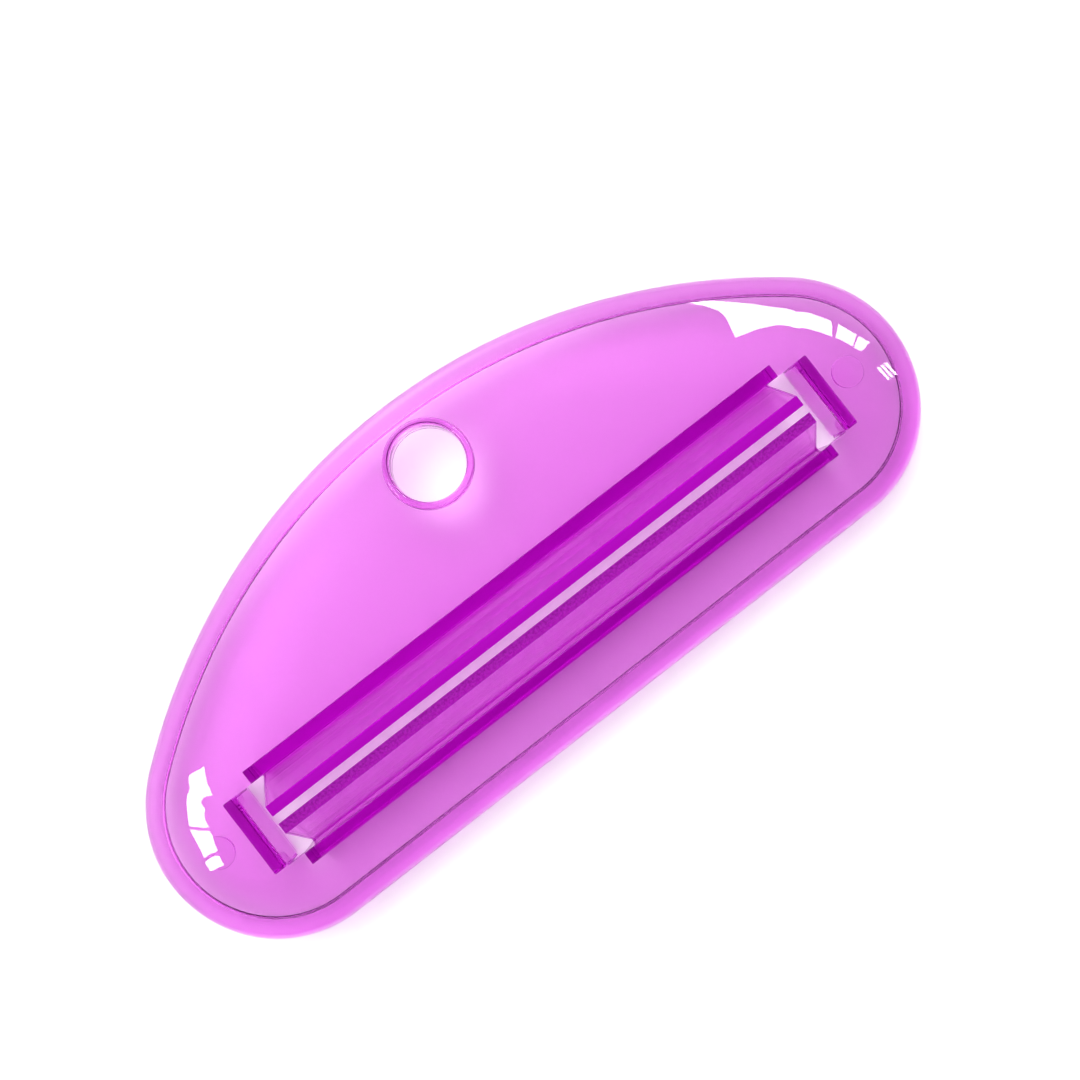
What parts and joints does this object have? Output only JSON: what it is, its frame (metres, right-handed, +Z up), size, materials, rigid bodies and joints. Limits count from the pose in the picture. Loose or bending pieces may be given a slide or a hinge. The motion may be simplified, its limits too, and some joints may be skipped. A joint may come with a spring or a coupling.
{
  "type": "toothpaste tube squeezer",
  "caption": "Half-moon tube squeezer in clear purple plastic, with a long slot whose springy jaws wring a tube, and a hang hole.",
  "frame": {"origin": "under the middle of the half-moon outline's box, on the surface that the squeezer stands on", "axes": "+X along the slot, +Y from the straight side to the arch, +Z up out of the smooth face"},
  "size_m": [0.0956, 0.0398, 0.0078],
  "materials": {
    "clear_purple_plastic": "glossy, tinted see-through injection moulding",
    "clear_purple_plastic_frosted_tip": "glossy, tinted see-through injection moulding with a finely frosted tip face"
  },
  "bodies": {
    "shell": {"shell": "clear_purple_plastic"},
    "arch_side_jaw": {"arch_side_jaw": "clear_purple_plastic"},
    "straight_side_jaw": {"straight_side_jaw": "clear_purple_plastic_frosted_tip"}
  },
  "joints": [
    {"name": "arch_side_jaw_flex", "type": "hinge", "parent": "shell", "child": "arch_side_jaw", "pos_m": [0, -0.00312, 0.0009], "axis": [-1, 0, 0], "range_deg": [0, 6], "stiffness_Nm_per_rad": 8},
    {"name": "straight_side_jaw_flex", "type": "hinge", "parent": "shell", "child": "straight_side_jaw", "pos_m": [0, -0.01138, 0.0009], "axis": [1, 0, 0], "range_deg": [0, 6], "stiffness_Nm_per_rad": 8}
  ]
}
